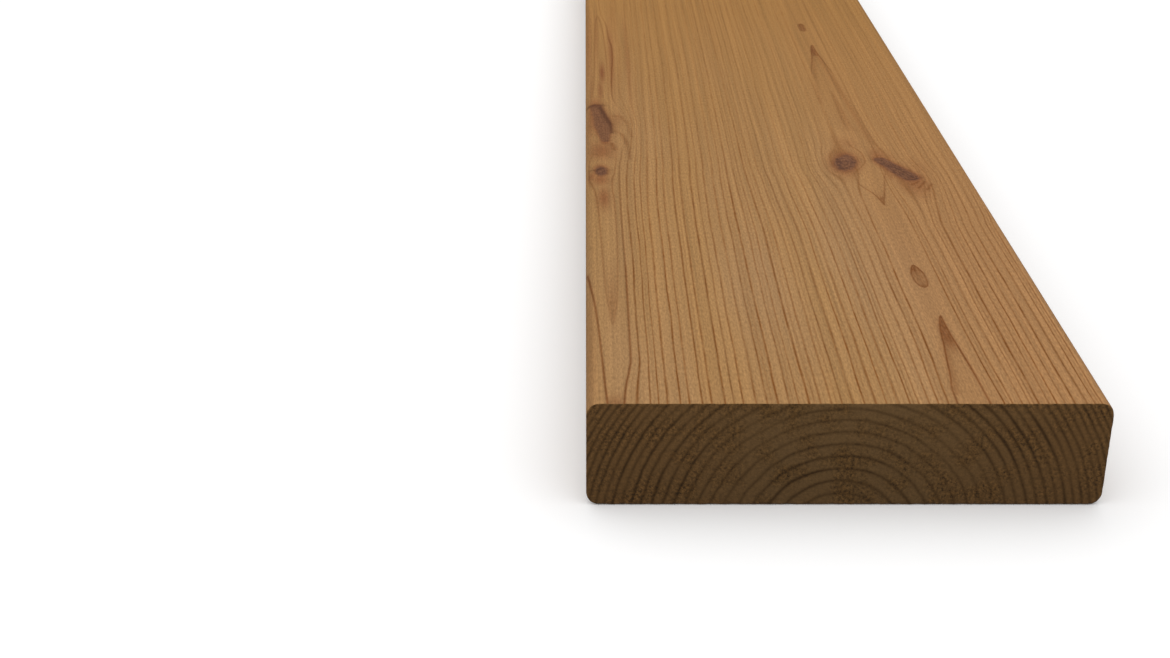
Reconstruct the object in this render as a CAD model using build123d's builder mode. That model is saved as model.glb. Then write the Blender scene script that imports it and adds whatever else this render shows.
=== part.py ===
"""A planed softwood plank: one straight piece of timber, rounded along its edges and cut square at its ends.

It lies on its underside with its length along Y, its width along X and its thickness along Z.
The origin is at the middle of the underside. All lengths are in millimetres.
"""

import os

from build123d import *

# Driving dimensions
plank_length = 1800.0
plank_width = 118.0
plank_thickness = 26.0

# Rounding that the planer puts on the four long edges
edge_radius = 3.0

# The planed section stands on the underside and runs the whole length, from one saw cut to the other.
with BuildPart() as plank:
    with BuildSketch(Plane.XZ) as section:
        Rectangle(plank_width, plank_thickness, align=(Align.CENTER, Align.MIN))
        fillet(section.vertices(), radius=edge_radius)
    extrude(amount=plank_length / 2, both=True)

plank.part.label = "plank"

os.makedirs("parts", exist_ok=True)
export_step(plank.part, "parts/plank.step")
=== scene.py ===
# %% [markdown]
# # A planed pine plank
# The real object is one straight length of softwood. A planer has made it flat and rounded its four long
# edges, and a saw has cut its ends square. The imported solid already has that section, so this lesson adds
# what timber is known by: growth rings, branch knots, and a rough dark end where the saw went across the
# fibres. Everything is in metres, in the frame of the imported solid, which lies on z = 0 along Y.

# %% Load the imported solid
import math

import bpy
import numpy as np
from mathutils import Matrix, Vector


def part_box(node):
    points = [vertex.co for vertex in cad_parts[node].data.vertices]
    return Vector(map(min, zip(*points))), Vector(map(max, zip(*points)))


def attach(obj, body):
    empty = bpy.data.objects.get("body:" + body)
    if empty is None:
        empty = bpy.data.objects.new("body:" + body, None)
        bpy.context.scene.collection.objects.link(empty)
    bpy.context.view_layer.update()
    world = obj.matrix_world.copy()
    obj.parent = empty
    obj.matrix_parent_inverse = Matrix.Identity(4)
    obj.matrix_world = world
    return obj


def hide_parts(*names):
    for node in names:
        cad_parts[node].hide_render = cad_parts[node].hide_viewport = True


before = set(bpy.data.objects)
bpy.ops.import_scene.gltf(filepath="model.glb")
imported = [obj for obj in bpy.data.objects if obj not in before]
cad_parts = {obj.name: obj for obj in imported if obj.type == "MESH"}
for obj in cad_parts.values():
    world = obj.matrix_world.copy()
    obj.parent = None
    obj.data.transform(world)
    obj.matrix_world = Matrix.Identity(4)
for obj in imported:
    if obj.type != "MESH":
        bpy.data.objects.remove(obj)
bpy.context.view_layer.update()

MM = 0.001
low, high = (np.array(corner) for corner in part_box("plank"))
width, length, thickness = (float(side) for side in high - low)
TOP = thickness / MM
print(f"The plank measures {width / MM:.1f} x {length / MM:.1f} x {TOP:.1f} mm.")

# %% [markdown]
# ## One helper for every node
# Shapes and finishes are both drawn with nodes here. A node has settings, and it has input sockets that
# either hold a value or take a link. One small function does all three and hands back the node's first
# open output, ready for the next node. The other outputs are reached through `socket.node.outputs`.

# %% Add a node
def add(tree, kind, sockets=None, **settings):
    node = tree.nodes.new(kind)
    for name, value in settings.items():
        setattr(node, name, value)
    for key, value in (sockets or {}).items():
        socket = node.inputs[key] if isinstance(key, int) else next(
            s for s in node.inputs if s.name == key and s.enabled)
        if isinstance(value, bpy.types.NodeSocket):
            tree.links.new(value, socket)
        else:
            socket.default_value = value
    return next((s for s in node.outputs if s.enabled), None)


# %% [markdown]
# Colours are easiest to choose as the hex values of a colour picker, which are sRGB. Shaders count in
# linear light, so one function turns the first into the second.

# %% Hex colour to linear
def colour(text):
    shares = [int(text[i:i + 2], 16) / 255 for i in (1, 3, 5)]
    return [s / 12.92 if s <= 0.04045 else ((s + 0.055) / 1.055) ** 2.4 for s in shares] + [1.0]


print("Mid grey in linear light:", [round(part, 3) for part in colour("#808080")])

# %% [markdown]
# ## Where a point is in the plank
# A joiner measures from a corner. All patterns below count in millimetres from the near left corner of the
# underside: across the width, along the length, and up through the thickness.

# %% Millimetres from the corner
CORNER_MM = [float(-c / MM) for c in low]


def joiner_place(tree):
    place = add(tree, "ShaderNodeTexCoord").node.outputs["Object"]
    return add(tree, "ShaderNodeMapping", {"Vector": place, "Location": CORNER_MM, "Scale": [1 / MM] * 3})


print("From the corner to the origin:", [round(part, 1) for part in CORNER_MM], "mm")

# %% [markdown]
# ## Two patterns that return
# A bell curve is 1 on a line and fades out on both sides of it. A noise brings in everything that is uneven
# in wood. Its cells have a size in millimetres for each direction, and cells that are long in the direction
# of the grain make streaks. Most values of a noise lie in a narrow span around its mean, and that span is
# stretched to the range that is wanted.

# %% Bell curve and stretched noise
MOST_NOISE, MEAN_NOISE = (0.3, 0.7), 0.5


def bell(tree, value, half_width):
    share = add(tree, "ShaderNodeMath", {0: value, 1: half_width}, operation="DIVIDE")
    square = add(tree, "ShaderNodeMath", {0: share, 1: share}, operation="MULTIPLY")
    minus = add(tree, "ShaderNodeMath", {0: square, 1: -1.0}, operation="MULTIPLY")
    return add(tree, "ShaderNodeMath", {0: minus}, operation="EXPONENT")


def uneven(tree, place, cells, lowest, highest, span=MOST_NOISE, detail=2.0, rough=0.5):
    place = add(tree, "ShaderNodeVectorMath", {0: place, 1: cells}, operation="DIVIDE")
    noise = add(tree, "ShaderNodeTexNoise", {
        "Vector": place, "Scale": 1.0, "Detail": detail, "Roughness": rough})
    return add(tree, "ShaderNodeMapRange", {
        "Value": noise, "From Min": span[0], "From Max": span[1], "To Min": lowest, "To Max": highest})


print(f"At its half width a bell curve has fallen to {math.exp(-1):.2f}.")

# %% [markdown]
# ## Growth rings across the trunk
# Cut across, the rings are circles. Their middle, the heart of the trunk, lies 9 mm under this plank, so its
# end shows arcs. A picture of wood could be wrapped around the plank, but a picture has no inside. Nodes that
# count the rings in space give every cut through the trunk its own right pattern, and the same nodes work in
# the mesh and in both materials. A tree grows fast when it is young: the rings are 3.3 mm wide near the heart
# and crowd to 1.4 mm at the plank's sides. The ring number therefore grows with the distance, and a little
# with its fourth power. A slow noise bends the circles.

# %% Ring number across the trunk
TRUNK_HEART, SIDE_REACH, ACROSS_GRAIN = (58.0, 0.0, -9.0), 65.0, (1, 0, 1)
RINGS_PER_MM, RING_START = 0.3, 0.17
RING_CROWDING, CROWDING_POWER = 3.6e-7, 3.0
BEND_CELL, BEND = (12, 200, 12), 0.5


def ring_number(tree, place):
    bend = uneven(
        tree, place, BEND_CELL, lowest=RING_START, highest=RING_START + BEND, span=(0, 1), detail=3.0)
    spoke = add(tree, "ShaderNodeVectorMath", {0: place, 1: TRUNK_HEART}, operation="SUBTRACT")
    spoke = add(tree, "ShaderNodeVectorMath", {0: spoke, 1: ACROSS_GRAIN}, operation="MULTIPLY")
    reach = add(tree, "ShaderNodeVectorMath", {0: spoke}, operation="LENGTH")
    crowd = add(tree, "ShaderNodeMath", {0: reach, 1: CROWDING_POWER}, operation="POWER")
    growth = add(tree, "ShaderNodeMath", {
        0: crowd, 1: RING_CROWDING, 2: RINGS_PER_MM}, operation="MULTIPLY_ADD")
    number = add(tree, "ShaderNodeMath", {0: reach, 1: growth, 2: bend}, operation="MULTIPLY_ADD")
    return number, reach


for reach in (0.0, SIDE_REACH):
    crowding = (CROWDING_POWER + 1) * RING_CROWDING * reach ** CROWDING_POWER
    print(f"{reach:.0f} mm from the heart a ring is {1 / (RINGS_PER_MM + crowding):.1f} mm wide.")

# %% [markdown]
# Each ring ends in a thin dark band, the late wood, drawn as a bell curve around every whole number. No two
# years are alike, so each band has a strength of its own, and the years half way out were the mildest.

# %% Late wood across the trunk
# Distances from the heart in millimetres, the strength of the bands there, and their half widths in rings.
HEART_REACH, MILD_REACH, OLD_REACH = 16.0, 30.0, 48.0
HEART_YEARS, MILD_YEARS, OLD_YEARS, FAINTEST_YEAR = 1.0, 0.65, 1.15, 0.6
INNER_BAND, OUTER_BAND = 0.13, 0.24


def trunk_rings(tree, place):
    number, reach = ring_number(tree, place)
    whole = add(tree, "ShaderNodeMath", {0: number}, operation="ROUND")
    offset = add(tree, "ShaderNodeMath", {0: number, 1: whole}, operation="SUBTRACT")
    half_width = add(tree, "ShaderNodeMapRange", {
        "Value": reach, "From Min": MILD_REACH, "From Max": SIDE_REACH,
        "To Min": INNER_BAND, "To Max": OUTER_BAND})
    year = add(tree, "ShaderNodeTexWhiteNoise", {"W": whole}, noise_dimensions="1D")
    year = add(tree, "ShaderNodeMapRange", {"Value": year, "To Min": FAINTEST_YEAR})
    inner = add(tree, "ShaderNodeMapRange", {
        "Value": reach, "From Min": HEART_REACH, "From Max": MILD_REACH,
        "To Min": HEART_YEARS, "To Max": MILD_YEARS})
    outer = add(tree, "ShaderNodeMapRange", {
        "Value": reach, "From Min": MILD_REACH, "From Max": OLD_REACH,
        "To Min": MILD_YEARS, "To Max": OLD_YEARS})
    strength = add(tree, "ShaderNodeMath", {0: inner, 1: outer}, operation="MAXIMUM")
    strength = add(tree, "ShaderNodeMath", {0: strength, 1: year}, operation="MULTIPLY")
    band = bell(tree, offset, half_width)
    return add(tree, "ShaderNodeMath", {0: band, 1: strength}, operation="MULTIPLY", use_clamp=True)


print("Strength of the late wood from the heart outwards:", HEART_YEARS, MILD_YEARS, OLD_YEARS)

# %% [markdown]
# ## Pine across the saw cut
# The saw tears the open ends of the fibres, so the end drinks in light: it is darker than the planed faces,
# matt and speckled. Dark late wood arcs, and blotches where more resin or water went in, are mixed over a
# brown base. The arcs come out stronger in some patches than in others, and the wood is a little redder away
# from the heart.

# %% Colours of the sawn end
BLOTCH_CELL, PATCH_CELL = (7, 7, 7), (15, 15, 15)
REDDER_FROM, REDDEST_FROM, REDDEST = 15.0, 50.0, 0.75

end_grain = bpy.data.materials.new("heat_treated_pine_sawn_end_grain")
end_grain.use_nodes = True
ends = end_grain.node_tree
spot = joiner_place(ends)
blotch = uneven(ends, spot, BLOTCH_CELL, lowest=0, highest=1, span=(0.42, 0.66), detail=3.0)
wood = add(ends, "ShaderNodeMix", {
    "Factor": blotch, "A": colour("#745836"), "B": colour("#674B29")}, data_type="RGBA")
across, _, height = add(ends, "ShaderNodeSeparateXYZ", {0: spot}).node.outputs
outer = add(ends, "ShaderNodeMath", {0: across, 1: TRUNK_HEART[0]}, operation="SUBTRACT")
outer = add(ends, "ShaderNodeMath", {0: outer}, operation="ABSOLUTE")
outer = add(ends, "ShaderNodeMapRange", {
    "Value": outer, "From Min": REDDER_FROM, "From Max": REDDEST_FROM, "To Max": REDDEST})
wood = add(ends, "ShaderNodeMix", {"Factor": outer, "A": wood, "B": colour("#75542F")}, data_type="RGBA")
patch = uneven(ends, spot, PATCH_CELL, lowest=0.6, highest=1.25)
arcs = add(ends, "ShaderNodeMath", {0: trunk_rings(ends, spot), 1: patch}, operation="MULTIPLY")
wood = add(ends, "ShaderNodeMix", {"Factor": arcs, "A": wood, "B": colour("#432D13")}, data_type="RGBA")
print("Nodes so far:", len(ends.nodes))

# %% [markdown]
# Torn fibres speckle the end, most of all in the blotches, and a bump makes the specks catch the light. Real
# fibre ends are a few hundredths of a millimetre wide, so the specks are coarsened until they show. The end
# is also painted paler towards the top and darker towards the bottom: painted shade, as if lit from above.

# %% Surface of the sawn end
SPECK_CELL, SPECK, CALM, ROUGH = (0.8, 0.8, 0.8), 0.5, 0.35, 1.45
PAINTED_SHADE_BOTTOM, PAINTED_LIGHT_TOP = 0.87, 1.08
SPECK_BUMP, SPECK_BUMP_STRENGTH = 0.06 * MM, 0.8
SAWN_ROUGHNESS, SAWN_GLOSS, PINE_IOR = 0.85, 0.2, 1.5

torn = uneven(ends, spot, SPECK_CELL, lowest=-SPECK, highest=SPECK, span=(0.35, 0.65), detail=3.0, rough=0.8)
rough = add(ends, "ShaderNodeMapRange", {"Value": blotch, "To Min": CALM, "To Max": ROUGH})
# Painted shade: the end is painted darker towards the bottom and paler towards the top, as if lit from above.
dry_spell_and_painted_shade = add(ends, "ShaderNodeMapRange", {"Value": height, "From Max": TOP, "To Min": PAINTED_SHADE_BOTTOM, "To Max": PAINTED_LIGHT_TOP})
light = add(ends, "ShaderNodeMath", {0: torn, 1: rough, 2: dry_spell_and_painted_shade}, operation="MULTIPLY_ADD")
wood = add(ends, "ShaderNodeHueSaturation", {"Value": light, "Color": wood})
bump = add(ends, "ShaderNodeBump", {
    "Height": torn, "Distance": SPECK_BUMP, "Strength": SPECK_BUMP_STRENGTH})
shader = ends.nodes["Principled BSDF"]
ends.links.new(wood, shader.inputs["Base Color"])
ends.links.new(bump, shader.inputs["Normal"])
shader.inputs["Roughness"].default_value = SAWN_ROUGHNESS
shader.inputs["IOR"].default_value = PINE_IOR
shader.inputs["Specular IOR Level"].default_value = SAWN_GLOSS
print("Made", end_grain.name, "with", len(ends.nodes), "nodes")

# %% [markdown]
# ## Branch knots
# A knot is the foot of a branch that the trunk grew around. Cut lengthwise it is a spike, cut across it is an
# oval. A knot could be painted on as a picture; here each is a tapered rod inside the plank, from a root to a
# tip, so that the cut through it comes out right on every face. The group below measures how near a point is
# to such a rod, where 1 is the knot's own surface, and how much of the knot's colour the point takes.

# %% A group for one knot
SOFT_OUT, SOFT_IN = 1.1, 0.88

knot_group = bpy.data.node_groups.new("branch knot", "ShaderNodeTree")
for name in ("Place", "Root", "Tip"):
    knot_group.interface.new_socket(name, in_out="INPUT", socket_type="NodeSocketVector")
for name in ("Root radius", "Tip radius", "Lump", "Strength"):
    knot_group.interface.new_socket(name, in_out="INPUT", socket_type="NodeSocketFloat")
knot_group.interface.new_socket("Shift", in_out="OUTPUT", socket_type="NodeSocketVector")
for name in ("Nearness", "Core", "Flow"):
    knot_group.interface.new_socket(name, in_out="OUTPUT", socket_type="NodeSocketFloat")

given = add(knot_group, "NodeGroupInput").node.outputs
rod = add(knot_group, "ShaderNodeVectorMath", {0: given["Tip"], 1: given["Root"]}, operation="SUBTRACT")
from_root = add(knot_group, "ShaderNodeVectorMath", {
    0: given["Place"], 1: given["Root"]}, operation="SUBTRACT")
along = add(knot_group, "ShaderNodeVectorMath", {0: from_root, 1: rod}, operation="DOT_PRODUCT")
span = add(knot_group, "ShaderNodeVectorMath", {0: rod, 1: rod}, operation="DOT_PRODUCT")
share = add(knot_group, "ShaderNodeMath", {0: along, 1: span}, operation="DIVIDE", use_clamp=True)
foot = add(knot_group, "ShaderNodeVectorMath", {0: rod, "Scale": share}, operation="SCALE")
away = add(knot_group, "ShaderNodeVectorMath", {0: from_root, 1: foot}, operation="SUBTRACT")
taper = add(knot_group, "ShaderNodeMath", {
    0: given["Tip radius"], 1: given["Root radius"]}, operation="SUBTRACT")
radius = add(knot_group, "ShaderNodeMath", {
    0: share, 1: taper, 2: given["Root radius"]}, operation="MULTIPLY_ADD")
gap = add(knot_group, "ShaderNodeVectorMath", {0: away}, operation="LENGTH")
nearness = add(knot_group, "ShaderNodeMath", {0: gap, 1: radius}, operation="DIVIDE")
nearness = add(knot_group, "ShaderNodeMath", {0: nearness, 1: given["Lump"]}, operation="ADD")
core = add(knot_group, "ShaderNodeMapRange", {"Value": nearness, "From Min": SOFT_OUT, "From Max": SOFT_IN})
core = add(knot_group, "ShaderNodeMath", {0: core, 1: given["Strength"]}, operation="MULTIPLY")
print("A knot's colour fades out between", SOFT_IN, "and", SOFT_OUT, "of its radius.")

# %% [markdown]
# The trunk's rings flow around a knot. The group therefore also gives a shift that pulls nearby points
# towards the rod: a ring that is read at the shifted point seems to give way. The shift fades out as a bell
# curve, over a longer stretch along the grain than across it.

# %% Flow around the knot
FLOW_ALONG, FLOW_REACH, FLOW_PULL = 0.3, 2.2, -0.85

flow = add(knot_group, "ShaderNodeVectorMath", {0: away, 1: (1, FLOW_ALONG, 1)}, operation="MULTIPLY")
flow = add(knot_group, "ShaderNodeVectorMath", {0: flow}, operation="LENGTH")
reach = add(knot_group, "ShaderNodeMath", {0: radius, 1: FLOW_REACH}, operation="MULTIPLY")
flow = bell(knot_group, flow, reach)
pull = add(knot_group, "ShaderNodeMath", {0: flow, 1: FLOW_PULL}, operation="MULTIPLY")
sideways = add(knot_group, "ShaderNodeVectorMath", {0: away, 1: ACROSS_GRAIN}, operation="MULTIPLY")
shift = add(knot_group, "ShaderNodeVectorMath", {0: sideways, "Scale": pull}, operation="SCALE")
add(knot_group, "NodeGroupOutput", {"Shift": shift, "Nearness": nearness, "Core": core, "Flow": flow})
print("A knot takes", len(knot_group.nodes), "nodes")

# %% [markdown]
# ## Pine under the planer
# The knives leave the long faces smooth and open the grain, so their pattern is seen at its clearest.
# Branches grow in whorls, one whorl a year, so the knots come in groups some 350 mm apart. The first group is
# the one near the sawn end; the others follow the same habit. A noise makes each knot a little lumpy.

# %% Put the knots in
LUMP_CELL, LUMP, FAR_AWAY = (2.2, 2.2, 2.2), 0.13, 99.0
# Root and tip in millimetres from the corner, the two radii, and the strength of the colour.
KNOTS = [
    ((75.6, 132.2, 11.0), (83.3, 175.9, 33.0), 2.8, 3.5, 1.0),
    ((92.2, 165.2, 25.6), (98.8, 149.0, 26.0), 2.0, 2.9, 1.0),
    ((3.5, 221.0, 25.6), (5.7, 200.0, 26.0), 1.8, 2.7, 0.75),
    ((5.7, 200.0, 26.0), (6.3, 184.0, 25.8), 2.7, 1.2, 0.75),
    ((4.9, 136.0, 17.0), (4.6, 168.8, 33.0), 1.7, 1.9, 1.0),
    ((70.0, 556.0, -4.0), (73.0, 614.0, 33.0), 3.6, 4.6, 1.0),
    ((90.0, 588.0, 22.0), (112.0, 603.0, 26.5), 1.0, 2.4, 1.0),
    ((38.0, 918.0, -4.0), (44.0, 974.0, 33.0), 3.2, 4.4, 1.0),
    ((86.0, 942.0, 22.0), (96.0, 976.0, 27.0), 1.4, 3.0, 1.0),
    ((9.0, 950.0, 19.0), (-4.0, 970.0, 26.0), 1.4, 2.6, 1.0),
    ((79.0, 1288.0, 6.0), (83.0, 1329.0, 33.0), 3.0, 3.8, 1.0),
    ((90.0, 1326.0, 23.0), (104.0, 1301.0, 26.3), 1.0, 2.7, 1.0),
    ((5.5, 1300.0, 24.0), (2.5, 1332.0, 26.0), 1.4, 2.0, 0.8),
    ((60.0, 1606.0, -4.0), (64.0, 1657.0, 33.0), 3.8, 5.0, 1.0),
    ((88.5, 1652.0, 23.5), (97.0, 1632.0, 26.2), 0.9, 2.2, 1.0),
]

planed = bpy.data.materials.new("heat_treated_pine_planed")
planed.use_nodes = True
faces = planed.node_tree
spot = joiner_place(faces)
across, along, up = add(faces, "ShaderNodeSeparateXYZ", {0: spot}).node.outputs
lump = uneven(faces, spot, LUMP_CELL, lowest=-LUMP, highest=LUMP, detail=3.0, rough=0.65)
moved, nearest, core, flow = spot, FAR_AWAY, 0.0, 0.0
for root, tip, root_radius, tip_radius, strength in KNOTS:
    knot = add(faces, "ShaderNodeGroup", {
        "Place": spot, "Root": root, "Tip": tip, "Root radius": root_radius, "Tip radius": tip_radius,
        "Lump": lump, "Strength": strength}, node_tree=knot_group)
    knot = knot.node.outputs
    moved = add(faces, "ShaderNodeVectorMath", {0: moved, 1: knot["Shift"]}, operation="ADD")
    nearest = add(faces, "ShaderNodeMath", {0: nearest, 1: knot["Nearness"]}, operation="MINIMUM")
    core = add(faces, "ShaderNodeMath", {0: core, 1: knot["Core"]}, operation="MAXIMUM")
    flow = add(faces, "ShaderNodeMath", {0: flow, 1: knot["Flow"]}, operation="MAXIMUM")
print("Knots:", len(KNOTS))

# %% [markdown]
# A tree never grows quite straight, so a slow noise lets every line sway a little. Some shapes are drawn
# instead. A float curve holds such a drawing: a height for each station along the way.

# %% Sway, and curves drawn by hand
SWAY, SWAY_CELL = 1.2, (30, 300, 30)

slow = add(faces, "ShaderNodeVectorMath", {0: spot, 1: SWAY_CELL}, operation="DIVIDE")
sway = add(faces, "ShaderNodeTexNoise", {"Vector": slow, "Scale": 1.0, "Detail": 2.0}).node.outputs["Color"]
sway = add(faces, "ShaderNodeVectorMath", {0: sway, 1: [MEAN_NOISE] * 3}, operation="SUBTRACT")
sway = add(faces, "ShaderNodeVectorMath", {0: sway, 1: (SWAY, 0, SWAY)}, operation="MULTIPLY")
moved = add(faces, "ShaderNodeVectorMath", {0: moved, 1: sway}, operation="ADD")
swayed = add(faces, "ShaderNodeVectorMath", {0: spot, 1: sway}, operation="ADD")
swayed = add(faces, "ShaderNodeSeparateXYZ", {0: swayed})


def drawn(value, stations, heights, straight=False):
    bottom, top, end = min(heights), max(heights), stations[-1]
    share = add(faces, "ShaderNodeMath", {0: value, 1: end}, operation="DIVIDE")
    curve = add(faces, "ShaderNodeFloatCurve", {"Value": share})
    points = curve.node.mapping.curves[0].points
    for station in stations[1:-1]:
        points.new(station / end, 0.0)
    for point, station, height in zip(points, stations, heights):
        point.location = station / end, (height - bottom) / (top - bottom)
        point.handle_type = "VECTOR" if straight else "AUTO_CLAMPED"
    curve.node.mapping.update()
    return add(faces, "ShaderNodeMapRange", {"Value": curve, "To Min": bottom, "To Max": top})


print("Lines sway by up to", SWAY / 2, "mm to each side.")

# %% [markdown]
# Where a ring just breaks through the top face it shows as arrows and islands with a dark rim. Their outline
# is drawn as a left and a right side, with a strength for the rim and one for the filling. Where the left
# side lies right of the right side, the ring stays buried.

# %% Drawn outlines
HEART, EDGE, WEDGE = 87.0, 6.5, 6.2
# Distance from the near end, left side, right side in millimetres, then rim and filling.
HEART_OUTLINE = [
    (0, 82.7, 90.2, .8, 0), (6, 82.9, 90.0, .8, 0), (13, 83.8, 89.8, .9, 0), (25, 85.1, 89.2, 1, .1),
    (31, 85.8, 88.8, 1, .5), (38, 86.5, 88.4, 1, .7), (47, 88.1, 88.2, 1, .8), (50, 89.2, 87.2, 0, 0),
    (61, 89.2, 86.2, 0, 0), (64.5, 87.4, 87.5, .9, .8), (67, 86.2, 88.7, .8, .5), (72, 85.7, 89.0, .75, .45),
    (76, 86.1, 88.5, 1, .8), (80, 87.2, 87.3, 1, 1), (83, 89.0, 85.5, 0, 0), (121, 89.0, 85.0, 0, 0),
    (124.5, 87.2, 86.9, .8, .7), (129, 86.5, 87.5, .8, .7), (132, 86.0, 88.2, .7, .3),
    (137, 84.5, 89.0, .6, .05), (141, 83.0, 89.8, .5, 0), (145, 82.3, 90.4, .45, 0), (150, 82.3, 91.3, .4, 0),
    (155, 83.7, 92.3, .4, 0), (160, 86.0, 92.3, .4, 0), (167, 87.6, 92.0, .5, 0), (173, 87.2, 92.0, .5, 0),
    (181, 84.7, 92.0, .4, 0), (186, 84.5, 92.0, 0, 0), (200, 85.5, 88.5, 0, .25), (220, 86.0, 88.0, 0, .35),
    (240, 86.8, 87.0, 0, .3), (244, 88.0, 86.0, 0, 0), (252, 82.4, 91.3, 0, 0), (262, 83.0, 90.5, .5, 0),
    (274, 84.5, 89.5, .7, 0), (285, 85.9, 88.6, .9, .5), (293, 86.6, 88.1, 1, .9), (301, 87.8, 87.9, .7, .6),
    (304, 89.5, 86.0, 0, 0), (317, 89.5, 85.5, 0, 0), (320.5, 86.9, 87.1, .5, .6), (324, 85.9, 88.2, .6, .8),
    (330, 85.9, 88.2, .6, .8), (333.5, 86.9, 87.1, .5, .6), (337, 89.5, 85.5, 0, 0), (400, 89.5, 85.5, 0, 0)]
EDGE_OUTLINE = [
    (0, 4.8, 8.6, .9, .2), (4, 4.6, 8.8, .9, .1), (10, 4.3, 9.3, .9, 0), (18, 4.0, 10.2, .9, 0),
    (25, 3.7, 10.6, .8, 0), (35, 3.3, 10.6, .8, 0), (50, 2.5, 10.6, .8, 0), (65, 1.3, 10.6, .9, 0),
    (76, 0.3, 10.6, .9, 0), (84, -2, 10.5, .6, 0), (130, -2, 10.2, .6, 0), (150, -2, 10.3, .5, 0),
    (170, -2, 11.4, .3, 0), (185, -2, 12.2, .1, 0), (200, -2, 12.3, .1, 0), (212, -2, 11.6, .1, 0),
    (225, -2, 10.2, .2, 0), (240, -2, 9.2, .5, 0), (262, -2, 9.6, .9, 0), (290, -2, 10.2, .9, 0),
    (310, -2, 9.2, .7, 0), (330, -2, 8.5, .5, 0), (350, -2, 6.5, .3, 0), (400, -2, 5.0, .3, 0)]
WEDGE_OUTLINE = [
    (0, 9.0, 4.0, 0, 0), (40, 7.5, 5.8, 0, 0), (42.5, 6.6, 6.7, .35, .3), (50, 6.0, 7.4, .35, .3),
    (58, 5.4, 8.0, .35, .2), (75, 4.8, 8.4, .4, .1), (100, 4.2, 8.7, .4, 0), (130, 3.2, 8.4, .5, 0),
    (142, 2.0, 8.0, .5, 0), (152, 1.0, 8.8, .5, 0), (160, 1.0, 9.3, .4, 0), (168, 1.6, 9.6, .3, 0),
    (180, 2.0, 9.6, .1, 0), (190, 2.0, 10.0, .1, 0), (226, 2.0, 8.0, .2, 0), (250, 3.0, 8.0, .3, 0),
    (300, 3.5, 7.5, .4, 0), (330, 4.0, 6.5, .4, 0), (345, 5.0, 5.2, .4, 0), (349, 6.0, 4.0, 0, 0),
    (400, 6.0, 4.0, 0, 0)]
print("Stations drawn:", len(HEART_OUTLINE) + len(EDGE_OUTLINE) + len(WEDGE_OUTLINE))

# %% [markdown]
# The drawings are for the top face, so they fade out a few millimetres down the sides. The fibres mottle
# their filling.

# %% Where the drawings show
SIDE_STARTS, SIDE_FULL = TOP - 1.5, TOP - 4.0
MOTTLE_CELL = (0.7, 3, 0.7)

mottle = uneven(faces, spot, MOTTLE_CELL, lowest=0.6, highest=1.3)
on_top = add(faces, "ShaderNodeMapRange", {"Value": up, "From Min": SIDE_FULL, "From Max": SIDE_STARTS})
print("The drawings end", TOP - SIDE_FULL, "mm below the top face.")

# %% [markdown]
# An outline becomes a mark: how far a point lies outside the two sides gives the rim and the filling. Each
# drawing covers the first 400 mm. Further along, a noise opens and closes the ring.

# %% Arrows and islands
RIM, SOFT_FILL, FAR_RIM = 0.32, 0.35, 0.7
FAR_STEP, FAR_SPAN, FAR_BURIED, FAR_OPEN, HAND_OVER = 60.0, (0.4, 0.6), -2.5, 3.2, 15.0


def outline(rows, middle):
    stations, *columns = zip(*rows)
    left, right, rim, filling = (drawn(along, stations, column) for column in columns)
    step = add(faces, "ShaderNodeMath", {0: along, 1: 1 / FAR_STEP, 2: middle}, operation="MULTIPLY_ADD")
    half = add(faces, "ShaderNodeTexNoise", {"W": step, "Scale": 1.0, "Detail": 1.0}, noise_dimensions="1D")
    half = add(faces, "ShaderNodeMapRange", {
        "Value": half, "From Min": FAR_SPAN[0], "From Max": FAR_SPAN[1],
        "To Min": FAR_BURIED, "To Max": FAR_OPEN})
    far_left = add(faces, "ShaderNodeMath", {0: middle, 1: half}, operation="SUBTRACT")
    far_right = add(faces, "ShaderNodeMath", {0: middle, 1: half}, operation="ADD")
    beyond = add(faces, "ShaderNodeMapRange", {
        "Value": along, "From Min": stations[-1] - HAND_OVER, "From Max": stations[-1]})
    left = add(faces, "ShaderNodeMix", {"Factor": beyond, "A": left, "B": far_left}, data_type="FLOAT")
    right = add(faces, "ShaderNodeMix", {"Factor": beyond, "A": right, "B": far_right}, data_type="FLOAT")
    rim = add(faces, "ShaderNodeMix", {"Factor": beyond, "A": rim, "B": FAR_RIM}, data_type="FLOAT")
    past_left = add(faces, "ShaderNodeMath", {0: left, 1: swayed}, operation="SUBTRACT")
    past_right = add(faces, "ShaderNodeMath", {0: swayed, 1: right}, operation="SUBTRACT")
    outside = add(faces, "ShaderNodeMath", {0: past_left, 1: past_right}, operation="MAXIMUM")
    line = add(faces, "ShaderNodeMath", {0: bell(faces, outside, RIM), 1: rim}, operation="MULTIPLY")
    inside = add(faces, "ShaderNodeMapRange", {
        "Value": outside, "From Min": SOFT_FILL, "From Max": -SOFT_FILL})
    inside = add(faces, "ShaderNodeMath", {0: inside, 1: filling}, operation="MULTIPLY")
    inside = add(faces, "ShaderNodeMath", {0: inside, 1: mottle}, operation="MULTIPLY")
    mark = add(faces, "ShaderNodeMath", {0: line, 1: inside}, operation="MAXIMUM")
    mark = add(faces, "ShaderNodeMath", {0: mark, 1: on_top}, operation="MULTIPLY")
    return mark, right, past_right


mark, *_ = outline(HEART_OUTLINE, HEART)
edge_mark, edge_right, past_edge = outline(EDGE_OUTLINE, EDGE)
wedge_mark, *_ = outline(WEDGE_OUTLINE, WEDGE)
for other in (edge_mark, wedge_mark):
    mark = add(faces, "ShaderNodeMath", {0: mark, 1: other}, operation="MAXIMUM")
print("Nodes so far:", len(faces.nodes))

# %% [markdown]
# Along the trunk the rings run as nearly straight lines. They bow outwards over a long stretch where the
# trunk swelled around its knots, lean to the right further on, and waver a little everywhere. Beside the
# drawn shape at the left edge they give way as well. All of this is one sideways push. The bows are drawn,
# each as a share across the width times a push along the length.

# %% Bows and wavering
EDGE_REST, EDGE_ROOM = 10.4, 4.5
WAVER, WAVER_CELL = 0.18, (10, 40, 10)
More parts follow.
